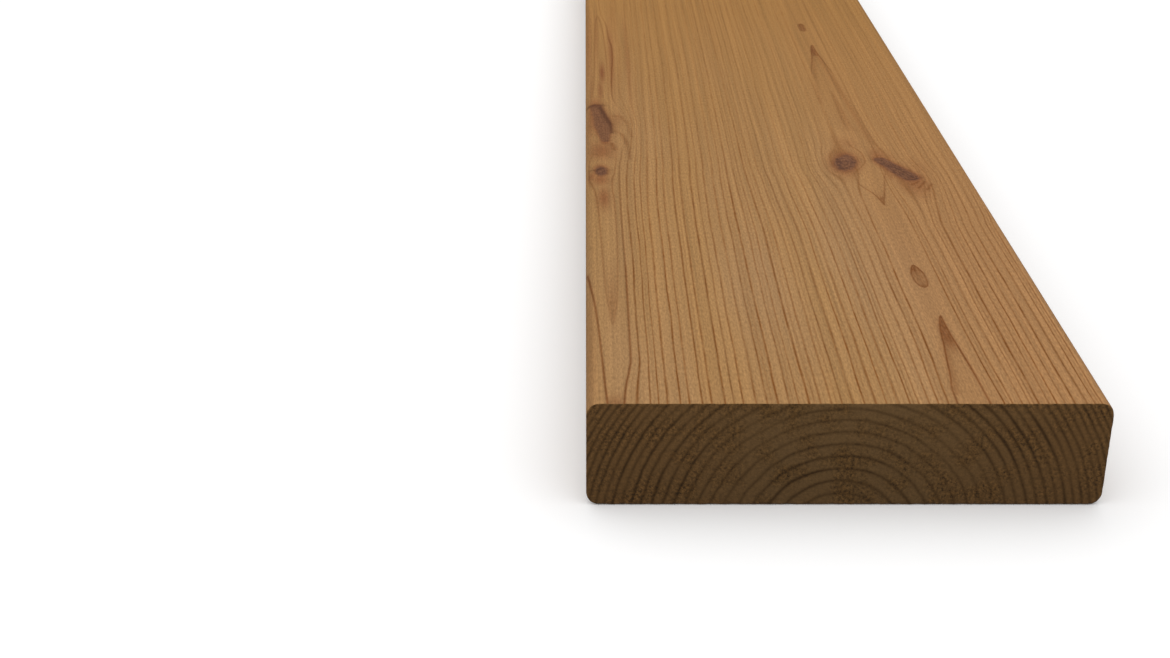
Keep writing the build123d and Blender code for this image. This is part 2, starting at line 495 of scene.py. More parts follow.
# Millimetres across and the share there, then millimetres along and the push there.
BOWS = [
    ((0, 8, 20, 40, 52, 118), (0, 0, .9, 1, 0, 0),
     (0, 100, 140, 160, 180, 200, 240, 280, 400, 800), (0, 0, .4, 1, 1.35, 1.7, 2.1, 2.6, 2.8, 0)),
    ((0, 36, 60, 75, 83, 118), (0, 0, 1, 1.05, 0, 0),
     (0, 100, 110, 130, 150, 162, 180, 200, 240, 280, 800),
     (0, 0, -.2, -.85, -1.65, -2.15, -2.0, -1.8, -1.6, -.8, 0)),
    ((0, 91, 98, 118), (0, 0, 1, 1),
     (0, 100, 115, 130, 160, 190, 240, 280, 800), (0, 0, .6, 1.1, 1.5, 1.2, 1.5, 1.5, 0)),
]

push = add(faces, "ShaderNodeMath", {0: edge_right, 1: EDGE_REST}, operation="SUBTRACT")
push = add(faces, "ShaderNodeMath", {0: push, 1: bell(faces, past_edge, EDGE_ROOM)}, operation="MULTIPLY")
waver = uneven(faces, spot, WAVER_CELL, lowest=-WAVER, highest=WAVER)
push = add(faces, "ShaderNodeMath", {0: push, 1: waver}, operation="ADD")
for places, shares, stations, pushes in BOWS:
    share = drawn(across, places, shares)
    bow = drawn(along, stations, pushes)
    push = add(faces, "ShaderNodeMath", {0: share, 1: bow, 2: push}, operation="MULTIPLY_ADD")
print("Widest bow:", max(abs(push_there) for *_, pushes in BOWS for push_there in pushes), "mm")

# %% [markdown]
# On the top face the rings are counted outwards from the line of the arrows, right of the middle. Close to
# the near end the first rings leave the arrow a little more room.

# %% Distance from the line of the arrows
PLAIN = 5.4
ARROW_ROOM = ((0, 15, 30, 45, 400), (0.9, 0.5, 0.15, 0, 0))

push = add(faces, "ShaderNodeCombineXYZ", {"X": push})
given_way = add(faces, "ShaderNodeVectorMath", {0: moved, 1: push}, operation="SUBTRACT")
spoke = add(faces, "ShaderNodeVectorMath", {0: given_way, 1: (HEART, 0, TOP)}, operation="SUBTRACT")
spoke = add(faces, "ShaderNodeVectorMath", {0: spoke, 1: ACROSS_GRAIN}, operation="MULTIPLY")
reach = add(faces, "ShaderNodeVectorMath", {0: spoke}, operation="LENGTH")
side = add(faces, "ShaderNodeSeparateXYZ", {0: spoke})
beside = add(faces, "ShaderNodeMath", {0: reach, 1: PLAIN}, operation="SUBTRACT")
room = add(faces, "ShaderNodeMath", {
    0: drawn(along, *ARROW_ROOM), 1: bell(faces, beside, PLAIN)}, operation="MULTIPLY")
print("Plain wood on each side of the arrows:", PLAIN, "mm")

# %% [markdown]
# Some years were wetter than others. A noise that depends on the distance alone makes the lines unevenly
# spaced. The rings are also wider on one side of the trunk than on the other, and narrower again at the
# plank's left edge.

# %% Count the rings
YEAR_CELL, YEAR_SHIFT = 4.5, 1.6
PITCH_LEFT, PITCH_RIGHT, PITCH_EDGE, EDGE_STARTS = 2.436, 2.08, 2.0, 67.0
FIRST_RING, TURN_OVER = 2.0, 2.0

wet = add(faces, "ShaderNodeMath", {0: side, 1: 1 / YEAR_CELL}, operation="MULTIPLY")
wet = add(faces, "ShaderNodeTexNoise", {"W": wet, "Scale": 1.0, "Detail": 0.0}, noise_dimensions="1D")
wet = add(faces, "ShaderNodeMath", {0: wet, 1: MEAN_NOISE}, operation="SUBTRACT")
outward = add(faces, "ShaderNodeMapRange", {
    "Value": reach, "From Min": PLAIN, "From Max": 2 * PLAIN, "To Max": YEAR_SHIFT})
reach = add(faces, "ShaderNodeMath", {0: reach, 1: room}, operation="SUBTRACT")
reach = add(faces, "ShaderNodeMath", {0: wet, 1: outward, 2: reach}, operation="MULTIPLY_ADD")
pitch = add(faces, "ShaderNodeMapRange", {
    "Value": side, "From Min": -TURN_OVER, "From Max": TURN_OVER,
    "To Min": PITCH_LEFT, "To Max": PITCH_RIGHT})
ring = add(faces, "ShaderNodeMath", {0: reach, 1: PLAIN}, operation="SUBTRACT")
ring = add(faces, "ShaderNodeMath", {0: ring, 1: pitch}, operation="DIVIDE")
ring = add(faces, "ShaderNodeMath", {0: ring, 1: FIRST_RING}, operation="ADD")
extra = add(faces, "ShaderNodeMath", {0: reach, 1: EDGE_STARTS}, operation="SUBTRACT")
extra = add(faces, "ShaderNodeMath", {0: extra, 1: 0.0}, operation="MAXIMUM")
ring = add(faces, "ShaderNodeMath", {
    0: extra, 1: 1 / PITCH_EDGE - 1 / PITCH_LEFT, 2: ring}, operation="MULTIPLY_ADD")
rings_left = (EDGE_STARTS - PLAIN) / PITCH_LEFT + (HEART - EDGE_STARTS) / PITCH_EDGE
print(f"Rings from the arrows to the left edge: about {rings_left:.0f}")

# %% [markdown]
# Each whole number gets a line again, and a curve holds one strength for each year. A dry spell in summer
# leaves a faint false ring between two true ones. Where the drawn shapes lie, no line runs through them.

# %% Lines on the top face
NEAR_BAND, FAR_BAND, SHARP_UNTIL, SOFT_FROM = 0.105, 0.19, 60.0, 300.0
DRY_SPELL, DRY_AFTER, WITHOUT_DRY_SPELL, FIRST_DRY_SPELL = 0.4, 0.45, 0.4, FIRST_RING + 0.6
CLEAR_FROM, CLEAR_TO = 0.6, 1.4
YEARS = [
    0, 0, .85, .6, .5, .55, .8, .5, .85, .65, .9, .6, .8, .65, .7, 1, .65, .7, 1, .7, .65, .75, .6, .95, .7,
    .95, .65, .9, .7, .75, .7, .8, .75, .7, .8, .6, .75, .9, .7, .75, .6, .8, .7, .9, .75, .6, .7, .8, .7]

half_width = add(faces, "ShaderNodeMapRange", {
    "Value": along, "From Min": SHARP_UNTIL, "From Max": SOFT_FROM, "To Min": NEAR_BAND, "To Max": FAR_BAND})
whole = add(faces, "ShaderNodeMath", {0: ring}, operation="ROUND")
offset = add(faces, "ShaderNodeMath", {0: ring, 1: whole}, operation="SUBTRACT")
year = drawn(whole, range(len(YEARS)), YEARS, straight=True)
late = add(faces, "ShaderNodeMath", {0: bell(faces, offset, half_width), 1: year}, operation="MULTIPLY")
between = add(faces, "ShaderNodeMath", {0: ring, 1: DRY_AFTER}, operation="ADD")
whole = add(faces, "ShaderNodeMath", {0: between}, operation="ROUND")
offset = add(faces, "ShaderNodeMath", {0: between, 1: whole}, operation="SUBTRACT")
dry_spell_and_painted_shade = add(faces, "ShaderNodeTexWhiteNoise", {"W": whole}, noise_dimensions="1D")
dry_spell_and_painted_shade = add(faces, "ShaderNodeMapRange", {"Value": dry_spell_and_painted_shade, "From Min": WITHOUT_DRY_SPELL, "To Max": DRY_SPELL})
started = add(faces, "ShaderNodeMapRange", {
    "Value": ring, "From Min": FIRST_RING, "From Max": FIRST_DRY_SPELL})
dry_spell_and_painted_shade = add(faces, "ShaderNodeMath", {0: dry_spell_and_painted_shade, 1: started}, operation="MULTIPLY")
false_ring = add(faces, "ShaderNodeMath", {0: bell(faces, offset, half_width), 1: dry_spell_and_painted_shade}, operation="MULTIPLY")
late = add(faces, "ShaderNodeMath", {0: late, 1: false_ring}, operation="MAXIMUM")
clear = add(faces, "ShaderNodeMapRange", {"Value": past_edge, "From Min": CLEAR_FROM, "From Max": CLEAR_TO})
late = add(faces, "ShaderNodeMath", {0: late, 1: clear}, operation="MULTIPLY")
print("Years with a strength of their own:", len(YEARS))

# %% [markdown]
# The sides and the underside show the same rings as the sawn ends, so their lines meet the arcs there. All
# lines are broken by the fibres, fade a little here and there, and soften slowly along the plank.

# %% Lines all round
FADE_CELL, BREAK_CELL, SIDE_LINES = (40, 120, 40), (0.8, 9, 0.8), 0.8
SOFTER = ((0, 25, 60, 115, 160, 210, 280, 400, 480, 600, 700),
          (1.15, 1.12, 1.04, .86, .7, .48, .4, .4, .6, .85, .85))

side_late = add(faces, "ShaderNodeMath", {0: trunk_rings(faces, moved), 1: SIDE_LINES}, operation="MULTIPLY")
late = add(faces, "ShaderNodeMath", {0: late, 1: drawn(along, *SOFTER)}, operation="MULTIPLY")
late = add(faces, "ShaderNodeMix", {"Factor": on_top, "A": side_late, "B": late}, data_type="FLOAT")
fade = uneven(faces, spot, FADE_CELL, lowest=0.75, highest=1.2)
broken = uneven(faces, spot, BREAK_CELL, lowest=0.55, highest=1.3)
late = add(faces, "ShaderNodeMath", {0: late, 1: fade}, operation="MULTIPLY")
late = add(faces, "ShaderNodeMath", {0: late, 1: broken}, operation="MULTIPLY", use_clamp=True)
print("Nodes so far:", len(faces.nodes))

# %% [markdown]
# Resin colours the wood in soft streaks near the knots. Each stain is one bell curve, long in the direction
# of the grain. The wood along the line of the arrows and around every knot is a little redder as well.

# %% Resin stains
STAIN_DEPTH, HEART_STAIN = 6.0, 0.12
HALO_FROM, HALO_FULL, HALO = 0.3, 0.95, 0.7
# Across, along, half width, half length in millimetres, then strength.
STAINS = [
    (6.7, 56, 1.3, 15, .2), (6.6, 0, 1.9, 4, .4), (1.0, 25, 1.5, 40, .25), (5.3, 131, 2.0, 10, .8),
    (4.4, 147, 3.0, 6, .8), (2.0, 150, 1.4, 5, .75), (5.0, 174, 4.5, 10, .75), (6.2, 183, 2.4, 6, .85),
    (8.3, 180, 1.0, 5, .5), (1.6, 206, 1.4, 22, .6), (10.4, 206, 1.8, 10, .4), (5.2, 240, 1.1, 14, .65),
    (6.0, 262, 1.1, 13, .95), (2.0, 245, 1.0, 30, .35), (94.5, 167, 3.0, 6, .4), (93.6, 151, 2.4, 5, .5),
    (101, 144, 2.6, 5, .5), (79.5, 151, 2.2, 6, .25), (84, 181, 4.5, 8, .35), (103, 157, 3.5, 9, .25),
    (9.6, 285, 1.3, 48, .6), (4.2, 315, 1.0, 45, .35), (15.7, 280, 1.0, 60, .35), (1.2, 300, 1.3, 60, .45),
    (87.2, 36, 1.5, 9, .65)]

stain = 0.0
for at_across, at_along, half_width, half_length, strength in STAINS:
    away = add(faces, "ShaderNodeVectorMath", {0: spot, 1: (at_across, at_along, TOP)}, operation="SUBTRACT")
    away = add(faces, "ShaderNodeVectorMath", {
        0: away, 1: (half_width, half_length, STAIN_DEPTH)}, operation="DIVIDE")
    away = add(faces, "ShaderNodeVectorMath", {0: away}, operation="LENGTH")
    soft = add(faces, "ShaderNodeMath", {0: bell(faces, away, 1.0), 1: strength}, operation="MULTIPLY")
    stain = add(faces, "ShaderNodeMath", {0: stain, 1: soft}, operation="MAXIMUM")
open_heart = add(faces, "ShaderNodeMath", {0: bell(faces, side, PLAIN), 1: HEART_STAIN}, operation="MULTIPLY")
halo = add(faces, "ShaderNodeMapRange", {
    "Value": flow, "From Min": HALO_FROM, "From Max": HALO_FULL, "To Max": HALO})
for other in (open_heart, halo):
    stain = add(faces, "ShaderNodeMath", {0: stain, 1: other}, operation="MAXIMUM")
print("Stains:", len(STAINS))

# %% [markdown]
# Bark that grew in leaves a dark stroke along a knot, and the late wood curls into small eddies behind it.
# The legs of an arrow trail off as soft strokes too. A stroke is a very thin rod, so the knot group can
# measure the distance to it.

# %% Bark strokes and eddies
# Start and end (across, along), half width in millimetres, then strength.
BARK = [
    ((1.0, 222), (4.8, 222), 1.8, .8), ((4.8, 220), (8.2, 201), .9, .9), ((8.2, 201), (8.6, 192), .7, .7),
    ((1.3, 156), (3.0, 155), .8, .5)]
EDDIES = [
    ((8.4, 181), (9.2, 175), .9, .55), ((2.0, 171), (4.4, 169), .8, .3), ((9.2, 210), (11.8, 210), .8, .4),
    ((11.8, 210), (13.8, 202), .8, .4), ((13.8, 202), (15.0, 188), .7, .3),
    ((9.6, 194), (11.8, 191), .7, .35), ((11.8, 191), (13.4, 180), .8, .5),
    ((13.4, 180), (13.9, 166), .7, .35), ((98.2, 142.3), (100.9, 145.4), .5, .7),
    ((99.6, 139.2), (102.6, 145.2), .5, .7), ((102.0, 138), (104.2, 142.8), .6, .6),
    ((88.2, 284), (89.6, 258), 1.1, .35), ((89.6, 258), (92.2, 180), 1.1, .4),
    ((86.2, 284), (83.2, 255), 1.1, .3), ((83.2, 255), (81.5, 225), 1.0, .2),
    ((86.3, 34), (83.4, 5), 1.0, .4)]


def strokes(rows):
    drawing = 0.0
    for start, end, half_width, strength in rows:
        away = add(faces, "ShaderNodeGroup", {
            "Place": spot, "Root": (*start, TOP), "Tip": (*end, TOP), "Root radius": half_width,
            "Tip radius": half_width}, node_tree=knot_group).node.outputs["Nearness"]
        stroke = add(faces, "ShaderNodeMath", {0: bell(faces, away, 1.0), 1: strength}, operation="MULTIPLY")
        drawing = add(faces, "ShaderNodeMath", {0: drawing, 1: stroke}, operation="MAXIMUM")
    return drawing


bark = strokes(BARK)
mark = add(faces, "ShaderNodeMath", {0: mark, 1: strokes(EDDIES)}, operation="MAXIMUM")
print("Strokes:", len(BARK) + len(EDDIES))

# %% [markdown]
# Close up, wood is made of fibres: long thin streaks, and short pale and dark flecks where the planer cut
# through them. Real fibres are a few hundredths of a millimetre wide; these are coarsened to half a
# millimetre, because finer ones would only flicker. Each pattern is a factor that lightens or darkens the
# colour a little.

# %% Fibres
FIBRE_CELL, FLECK_CELL = (0.55, 90, 0.55), (0.4, 1.7, 0.4)
STREAK_CELL, CLOUD_CELL = (1.6, 250, 1.6), (22, 160, 22)

fibre = uneven(faces, spot, FIBRE_CELL, lowest=0.9, highest=1.1, detail=3.0, rough=0.6)
fleck = uneven(faces, spot, FLECK_CELL, lowest=0.76, highest=1.24, span=(0.25, 0.75), rough=0.6)
streak = uneven(faces, given_way, STREAK_CELL, lowest=0.91, highest=1.09)
cloud = uneven(faces, spot, CLOUD_CELL, lowest=0, highest=1, span=(0.35, 0.65))
print("Fibres:", FIBRE_CELL[0], "mm wide, flecks:", FLECK_CELL[1], "mm long")

# %% [markdown]
# Now the colours of the wood. Heat treatment has browned it all, from the pale early wood to the dark lines.
# It is a little warmer on the right and deeper further along.

# %% Wood colours
WARMER_FROM, WARMEST_FROM = 70.0, 100.0
DEEPER_FROM, DEEPEST_FROM = 80.0, 360.0

warmer = add(faces, "ShaderNodeMapRange", {
    "Value": across, "From Min": WARMER_FROM, "From Max": WARMEST_FROM})
deeper = add(faces, "ShaderNodeMapRange", {
    "Value": along, "From Min": DEEPER_FROM, "From Max": DEEPEST_FROM})
wood = colour("#A17A4D")
for share, shade in ((cloud, "#A17C54"), (warmer, "#A3794F"), (deeper, "#9C7240"), (stain, "#7E4C2C"),
                     (late, "#74461B"), (mark, "#724421")):
    wood = add(faces, "ShaderNodeMix", {"Factor": share, "A": wood, "B": colour(shade)}, data_type="RGBA")
print("Nodes so far:", len(faces.nodes))

# %% [markdown]
# A knot has narrow rings of its own and a gritty look, because the knives cut its fibres across. The grit is
# coarser than the fibres, so that it shows. A soft reddish collar of resin surrounds the knot.

# %% Knot colours
KNOT_RINGS, RING_LOW, RING_HIGH = 17.0, 0.3, 0.7
GRIT_CELL = (1.4, 1.4, 1.4)
COLLAR_AT, COLLAR_WIDTH, COLLAR = 1.1, 0.24, 0.45

turns = add(faces, "ShaderNodeMath", {0: nearest, 1: KNOT_RINGS}, operation="MULTIPLY")
turns = add(faces, "ShaderNodeMath", {0: turns}, operation="SINE")
turns = add(faces, "ShaderNodeMapRange", {
    "Value": turns, "From Min": -1.0, "To Min": RING_LOW, "To Max": RING_HIGH})
grit = uneven(faces, spot, GRIT_CELL, lowest=0, highest=2, span=(0.35, 0.65), detail=3.0, rough=0.7)
turns = add(faces, "ShaderNodeMath", {0: turns, 1: grit}, operation="MULTIPLY")
branch = add(faces, "ShaderNodeMix", {
    "Factor": turns, "A": colour("#533526"), "B": colour("#775037")}, data_type="RGBA")
collar = add(faces, "ShaderNodeMath", {0: nearest, 1: COLLAR_AT}, operation="SUBTRACT")
collar = add(faces, "ShaderNodeMath", {
    0: bell(faces, collar, COLLAR_WIDTH), 1: COLLAR}, operation="MULTIPLY")
for share, shade in ((collar, colour("#70412A")), (core, branch), (bark, colour("#54331F"))):
    wood = add(faces, "ShaderNodeMix", {"Factor": share, "A": wood, "B": shade}, data_type="RGBA")
print("Nodes so far:", len(faces.nodes))

# %% [markdown]
# Last the fibres lighten and darken everything a little. Planed pine without varnish is nearly matt; late
# wood is denser and takes a little more polish from the knives.

# %% Surface of the planed faces
EARLY_ROUGHNESS, LATE_ROUGHNESS, PLANED_GLOSS = 0.78, 0.66, 0.05
FIBRE_BUMP, FIBRE_BUMP_STRENGTH = 0.06 * MM, 0.5

for light in (fibre, streak, fleck):
    wood = add(faces, "ShaderNodeHueSaturation", {"Value": light, "Color": wood})
bump = add(faces, "ShaderNodeBump", {
    "Height": fibre, "Distance": FIBRE_BUMP, "Strength": FIBRE_BUMP_STRENGTH})
polish = add(faces, "ShaderNodeMapRange", {
    "Value": late, "To Min": EARLY_ROUGHNESS, "To Max": LATE_ROUGHNESS})
shader = faces.nodes["Principled BSDF"]
faces.links.new(wood, shader.inputs["Base Color"])
faces.links.new(bump, shader.inputs["Normal"])
faces.links.new(polish, shader.inputs["Roughness"])
shader.inputs["IOR"].default_value = PINE_IOR
shader.inputs["Specular IOR Level"].default_value = PLANED_GLOSS
print("Made", planed.name, "with", len(faces.nodes), "nodes")

# %% [markdown]
# ## The shape
# The plank could be modelled by hand as a box with bevelled edges. Its section and length follow a rule,
# though, so Geometry Nodes make it from a finely divided box: the measures stay inputs that can be changed,
# and the same nodes wear the rim and roughen the sawn ends. Most points are wanted near the edges and the
# ends, so a sine crowds the grid lines outwards.

# %% Divided box
EDGE_RADIUS, ARRIS_WEAR, SAWN_RELIEF = 3.0 * MM, 0.12 * MM, 0.08 * MM
LINES_ACROSS, LINES_ALONG, LINES_UP = 158, 161, 35
CROWDED = 0.85
CROWD = [math.pi / 2 * share for share in (CROWDED, 1, CROWDED)]

shape = bpy.data.node_groups.new("planed plank", "GeometryNodeTree")
sizes = {"Width": width, "Length": length, "Thickness": thickness, "Edge radius": EDGE_RADIUS,
         "Arris wear": ARRIS_WEAR, "Sawn relief": SAWN_RELIEF}
sockets = {name: shape.interface.new_socket(name, in_out="INPUT", socket_type="NodeSocketFloat")
           for name in sizes}
shape.interface.new_socket("Geometry", in_out="OUTPUT", socket_type="NodeSocketGeometry")
given = add(shape, "NodeGroupInput").node.outputs
size = add(shape, "ShaderNodeCombineXYZ", {
    "X": given["Width"], "Y": given["Length"], "Z": given["Thickness"]})
half = add(shape, "ShaderNodeVectorMath", {0: size, "Scale": 0.5}, operation="SCALE")
solid = add(shape, "GeometryNodeMeshCube", {
    "Size": size, "Vertices X": LINES_ACROSS, "Vertices Y": LINES_ALONG, "Vertices Z": LINES_UP})
place = add(shape, "GeometryNodeInputPosition")
place = add(shape, "ShaderNodeVectorMath", {0: place, 1: half}, operation="DIVIDE")
place = add(shape, "ShaderNodeVectorMath", {0: place, 1: CROWD}, operation="MULTIPLY")
place = add(shape, "ShaderNodeVectorMath", {0: place}, operation="SINE")
place = add(shape, "ShaderNodeVectorMath", {0: place, 1: [math.sin(c) for c in CROWD]}, operation="DIVIDE")
place = add(shape, "ShaderNodeVectorMath", {0: place, 1: half}, operation="MULTIPLY")
print("Divided box:", LINES_ACROSS, "x", LINES_ALONG, "x", LINES_UP, "points")

# %% [markdown]
# The four long edges are rounded. An inner box ends one radius before the sides. Every point outside it keeps
# its direction from the inner box, but square shells become round ones.

# %% Round the long edges
BEYOND_ENDS = 10.0

parts = add(shape, "ShaderNodeSeparateXYZ", {0: half}).node.outputs
flat_x = add(shape, "ShaderNodeMath", {0: parts["X"], 1: given["Edge radius"]}, operation="SUBTRACT")
flat_z = add(shape, "ShaderNodeMath", {0: parts["Z"], 1: given["Edge radius"]}, operation="SUBTRACT")
flat = add(shape, "ShaderNodeCombineXYZ", {"X": flat_x, "Y": BEYOND_ENDS, "Z": flat_z})
back = add(shape, "ShaderNodeVectorMath", {0: flat, "Scale": -1.0}, operation="SCALE")
inner = add(shape, "ShaderNodeVectorMath", {0: place, 1: flat}, operation="MINIMUM")
inner = add(shape, "ShaderNodeVectorMath", {0: inner, 1: back}, operation="MAXIMUM")
outer = add(shape, "ShaderNodeVectorMath", {0: place, 1: inner}, operation="SUBTRACT")
sides = add(shape, "ShaderNodeVectorMath", {0: outer}, operation="ABSOLUTE")
sides = add(shape, "ShaderNodeSeparateXYZ", {0: sides}).node.outputs
reach = add(shape, "ShaderNodeMath", {0: sides["X"], 1: sides["Z"]}, operation="MAXIMUM")
outer = add(shape, "ShaderNodeVectorMath", {0: outer}, operation="NORMALIZE")
outer = add(shape, "ShaderNodeVectorMath", {0: outer, "Scale": reach}, operation="SCALE")
place = add(shape, "ShaderNodeVectorMath", {0: inner, 1: outer}, operation="ADD")
print(f"Long edges rounded by {EDGE_RADIUS / MM:.1f} mm")

# %% [markdown]
# The saw leaves the rim of each end slightly broken. A bell curve finds the rim by its distance from the end,
# and a noise picks the spots. Wear only takes wood away, so the plank stays inside its size.

# %% Worn rim
WEAR_DEPTH, NICK_CELL = 0.3 * MM, (2.5, 2.5, 2.5)

corner = add(shape, "ShaderNodeVectorMath", {0: place, 1: half}, operation="ADD")
corner = add(shape, "ShaderNodeVectorMath", {0: corner, "Scale": 1 / MM}, operation="SCALE")
distance = add(shape, "ShaderNodeVectorMath", {0: place}, operation="ABSOLUTE")
distance = add(shape, "ShaderNodeSeparateXYZ", {0: distance}).node.outputs["Y"]
distance = add(shape, "ShaderNodeMath", {0: parts["Y"], 1: distance}, operation="SUBTRACT")
nick = uneven(shape, corner, NICK_CELL, lowest=0, highest=1, span=(0.35, 0.7))
wear = add(shape, "ShaderNodeMath", {0: bell(shape, distance, WEAR_DEPTH), 1: nick}, operation="MULTIPLY")
wear = add(shape, "ShaderNodeMath", {0: wear, 1: given["Arris wear"]}, operation="MULTIPLY")
wear = add(shape, "ShaderNodeCombineXYZ", {"X": wear, "Z": wear})
wear = add(shape, "ShaderNodeVectorMath", {0: wear, 1: half}, operation="DIVIDE")
wear = add(shape, "ShaderNodeVectorMath", {0: wear, 1: place}, operation="MULTIPLY")
place = add(shape, "ShaderNodeVectorMath", {0: place, 1: wear}, operation="SUBTRACT")
print(f"Rim worn by up to {ARRIS_WEAR / MM:.2f} mm")

# %% [markdown]
# The end itself is uneven: the saw tears the soft early wood a little deeper than the hard late wood, and
# nicks it by chance. The ring nodes say which wood is which, so the relief lies exactly under the coloured
# arcs. Both causes have an equal share in it.

# %% Sawn relief
AT_END, EQUAL_SHARE = 0.01 * MM, 0.5

torn = add(shape, "ShaderNodeMath", {0: 1.0, 1: trunk_rings(shape, corner)}, operation="SUBTRACT")
torn = add(shape, "ShaderNodeMath", {0: torn, 1: nick}, operation="ADD")
torn = add(shape, "ShaderNodeMath", {0: torn, 1: EQUAL_SHARE}, operation="MULTIPLY")
torn = add(shape, "ShaderNodeMath", {0: torn, 1: given["Sawn relief"]}, operation="MULTIPLY")
at_end = add(shape, "ShaderNodeMath", {0: distance, 1: AT_END}, operation="LESS_THAN")
torn = add(shape, "ShaderNodeMath", {0: torn, 1: at_end}, operation="MULTIPLY")
inward = add(shape, "ShaderNodeSeparateXYZ", {0: place}).node.outputs["Y"]
inward = add(shape, "ShaderNodeMath", {0: inward}, operation="SIGN")
torn = add(shape, "ShaderNodeMath", {0: torn, 1: inward}, operation="MULTIPLY")
torn = add(shape, "ShaderNodeCombineXYZ", {"Y": torn})
place = add(shape, "ShaderNodeVectorMath", {0: place, 1: torn}, operation="SUBTRACT")
solid = add(shape, "GeometryNodeSetPosition", {"Geometry": solid, "Position": place})
print(f"Ends torn by up to {SAWN_RELIEF / MM:.2f} mm")

# %% [markdown]
# The box was made around the origin, so it is lifted until it lies on z = 0. Faces that look along the plank
# are the sawn ends and get the end grain; all others get the planed pine.

# %% Finish the tree
LOOKS_ALONG = 0.75

lift = add(shape, "ShaderNodeCombineXYZ", {"Z": parts["Z"]})
solid = add(shape, "GeometryNodeSetPosition", {"Geometry": solid, "Offset": lift})
solid = add(shape, "GeometryNodeSetShadeSmooth", {"Geometry": solid})
solid = add(shape, "GeometryNodeRealizeInstances", {"Geometry": solid})
solid = add(shape, "GeometryNodeSetMaterial", {"Geometry": solid, "Material": planed})
facing = add(shape, "GeometryNodeInputNormal")
facing = add(shape, "ShaderNodeVectorMath", {0: facing}, operation="ABSOLUTE")
facing = add(shape, "ShaderNodeSeparateXYZ", {0: facing}).node.outputs["Y"]
sawn = add(shape, "FunctionNodeCompare", {
    "A": facing, "B": LOOKS_ALONG}, data_type="FLOAT", operation="GREATER_THAN")
solid = add(shape, "GeometryNodeSetMaterial", {"Geometry": solid, "Selection": sawn, "Material": end_grain})
add(shape, "NodeGroupOutput", {"Geometry": solid})
print("The shape takes", len(shape.nodes), "nodes")

# %% [markdown]
# ## From nodes to a plain mesh
# A modifier runs the tree on an empty mesh. Its result is copied to a plain mesh, because that is what other
# programs can read, and the object with the modifier goes away again. The copy brings an empty material slot
# from the box node, which is taken out.

# %% Plank mesh
maker = bpy.data.objects.new("plank_maker", bpy.data.meshes.new("plank_maker"))
bpy.context.scene.collection.objects.link(maker)
modifier = maker.modifiers.new("planed plank", "NODES")
modifier.node_group = shape
for name, value in sizes.items():
    modifier[sockets[name].identifier] = value
mesh = bpy.data.meshes.new_from_object(maker.evaluated_get(bpy.context.evaluated_depsgraph_get()))
bpy.data.objects.remove(maker)
while None in mesh.materials[:]:
    mesh.materials.pop(index=mesh.materials[:].index(None))
plank = bpy.data.objects.new("pine_plank", mesh)
bpy.context.scene.collection.objects.link(plank)
mesh.calc_loop_triangles()
print(f"Plank: {len(mesh.vertices)} points, {len(mesh.loop_triangles)} triangles")
print("Finishes:", [material.name for material in mesh.materials])

# %% [markdown]
# ## A flat map for baking
# Outside this program the finish travels as a picture, and a flat map says where each face lies on it. An
# even map of something so long would leave two millimetres to a pixel, too coarse for rings. The pattern
# changes slowly along the grain and quickly across it, so here every long side is a full-height strip that is
# squeezed along its length. Each face goes to the strip of the side it looks to.

# %% Flat map
# The axis a side looks along and its sign, the axis across the strip and its sign, the axis up the strip,
# then the left, lower, right and upper border of the strip.
STRIPS = [
    (2, 1, 0, 1, 1, (0.003, 0.003, 0.360, 0.997)),
    (2, -1, 0, -1, 1, (0.370, 0.003, 0.600, 0.997)),
    (0, 1, 2, -1, 1, (0.610, 0.003, 0.700, 0.997)),
    (0, -1, 2, 1, 1, (0.710, 0.003, 0.800, 0.997)),
    (1, -1, 2, -1, 0, (0.815, 0.003, 0.997, 0.492)),
    (1, 1, 2, 1, 0, (0.815, 0.508, 0.997, 0.997)),
]

points = np.array([vertex.co for vertex in mesh.vertices])
shares = (points - low) / (high - low)
corners = np.array([loop.vertex_index for loop in mesh.loops])
normals = np.array([face.normal for face in mesh.polygons])
facing = np.abs(normals).argmax(axis=1)
looks = np.sign(normals[np.arange(len(normals)), facing])
sides_per_face = [face.loop_total for face in mesh.polygons]
flat_map = np.zeros((len(corners), 2))
for axis, sign, across_axis, across_sign, up_axis, (left, lower, right, upper) in STRIPS:
    mine = np.repeat((facing == axis) & (looks == sign), sides_per_face)
    share = shares[corners[mine]]
    across_share = share[:, across_axis] if across_sign > 0 else 1 - share[:, across_axis]
    flat_map[mine, 0] = left + (right - left) * across_share
    flat_map[mine, 1] = lower + (upper - lower) * share[:, up_axis]
layer = mesh.uv_layers.new(name="OFBake")
layer.data.foreach_set("uv", flat_map.ravel())
print("Mapped", len(corners), "face corners, from", flat_map.min(axis=0), "to", flat_map.max(axis=0))

# %% [markdown]
# The plank belongs to the one body of the frame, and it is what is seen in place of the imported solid.

# %% Ride on the body
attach(plank, "root")
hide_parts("plank")
print(plank.name, "rides on the root body.")

# %% [markdown]
# ## Floor
# The plank lies on white studio paper, one large square. It is not attached to the plank, and it
# lies a hair lower, so that the two never share a plane.

# %% Floor
FLOOR_REACH, FLOOR_HEIGHT = 12.0, -0.2 * MM

square = ((-1, -1), (1, -1), (1, 1), (-1, 1))
floor_corners = [(x * FLOOR_REACH, y * FLOOR_REACH, FLOOR_HEIGHT) for x, y in square]
floor_mesh = bpy.data.meshes.new("floor")
floor_mesh.from_pydata(floor_corners, [], [(0, 1, 2, 3)])
floor = bpy.data.objects.new("floor", floor_mesh)
bpy.context.scene.collection.objects.link(floor)
print("Floor:", 2 * FLOOR_REACH, "m square")

# %% [markdown]
# A truly white floor would light the ends and sides from below, and a grey one would look grey. The Light
# Path node tells the rays apart: the camera sees white paper with the plank's soft shadow on it, while
# bounced light meets a mid grey.

# %% White paper
WHITE, MID_GREY = colour("#FFFFFF"), colour("#808080")
PAPER_WHITE, PAPER_GLOW = [0.98, 0.98, 0.98, 1.0], 0.06


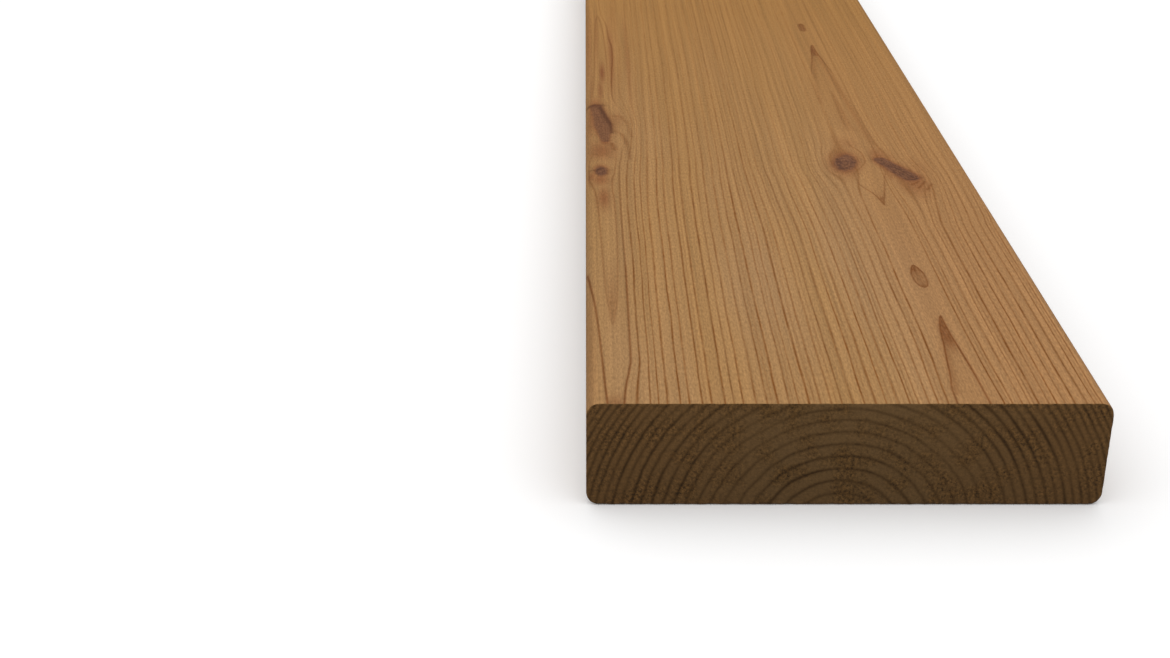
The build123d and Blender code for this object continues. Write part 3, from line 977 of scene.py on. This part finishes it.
def seen_directly(tree):
    rays = add(tree, "ShaderNodeLightPath").node.outputs
    seen = add(tree, "ShaderNodeMath", {
        0: rays["Is Camera Ray"], 1: rays["Is Glossy Ray"]}, operation="MAXIMUM")
    return add(tree, "ShaderNodeMath", {0: seen, 1: rays["Is Transmission Ray"]}, operation="MAXIMUM")


paper = bpy.data.materials.new("white_studio_paper")
paper.use_nodes = True
tree = paper.node_tree
tree.nodes.clear()
bounce = add(tree, "ShaderNodeBsdfDiffuse", {"Color": MID_GREY})
glow = add(tree, "ShaderNodeEmission", {"Color": WHITE, "Strength": PAPER_GLOW})
soft = add(tree, "ShaderNodeBsdfDiffuse", {"Color": PAPER_WHITE})
shown = add(tree, "ShaderNodeAddShader", {0: glow, 1: soft})
surface = add(tree, "ShaderNodeMixShader", {0: seen_directly(tree), 1: bounce, 2: shown})
add(tree, "ShaderNodeOutputMaterial", {"Surface": surface})
floor_mesh.materials.append(paper)
print("Made", paper.name, "with", len(tree.nodes), "nodes")

# %% [markdown]
# ## Light
# A wide softbox hangs overhead, a little to one side. An area lamp would be brighter near its middle; a sun
# lamp with a very wide angle gives the same soft shadow all along the plank. A dim world fills in from
# everywhere, and where it is seen directly it is plain white.

# %% Light
AMBIENT, BACKDROP_WHITE = 0.3, 1.0
LAMP_STRENGTH, LAMP_ANGLE, LAMP_TILT = 2.4, math.radians(125), math.radians(-6)

world = bpy.data.worlds.new("soft_studio")
bpy.context.scene.world = world
world.use_nodes = True
tree = world.node_tree
tree.nodes.clear()
fill = add(tree, "ShaderNodeBackground", {"Color": WHITE, "Strength": AMBIENT})
backdrop = add(tree, "ShaderNodeBackground", {"Color": WHITE, "Strength": BACKDROP_WHITE})
sky = add(tree, "ShaderNodeMixShader", {0: seen_directly(tree), 1: fill, 2: backdrop})
add(tree, "ShaderNodeOutputWorld", {"Surface": sky})

lamp_data = bpy.data.lights.new("overhead_softbox", "SUN")
lamp_data.energy = LAMP_STRENGTH
lamp_data.angle = LAMP_ANGLE
lamp = bpy.data.objects.new("overhead_softbox", lamp_data)
lamp.rotation_euler = (0, LAMP_TILT, 0)
bpy.context.scene.collection.objects.link(lamp)
print("Lamp angle:", round(math.degrees(LAMP_ANGLE)), "degrees")

# %% [markdown]
# ## Camera
# The camera stands in front of the sawn end and looks down along the plank. Its place follows from the plank
# itself: the point where the long edges seem to meet gives the tilt and the lens, and the known section gives
# the distance.

# %% Camera
SENSOR, IMAGE_WIDTH, FOCAL_PIXELS = 36.0, 1170, 1646.8
LEFT_OF_EDGE, BEFORE_END, ABOVE_TOP = 0.25 * MM, 325.4 * MM, 169.8 * MM
LOOK_DOWN = math.radians(24.96)

camera_data = bpy.data.cameras.new("camera")
camera_data.sensor_width = SENSOR
camera_data.lens = FOCAL_PIXELS / IMAGE_WIDTH * SENSOR
camera = bpy.data.objects.new("camera", camera_data)
camera.location = (low[0] - LEFT_OF_EDGE, low[1] - BEFORE_END, high[2] + ABOVE_TOP)
camera.rotation_euler = (math.pi / 2 - LOOK_DOWN, 0, 0)
bpy.context.scene.collection.objects.link(camera)
bpy.context.scene.camera = camera
bpy.context.scene.view_settings.view_transform = "Standard"
print(f"Lens: {camera_data.lens:.1f} mm")
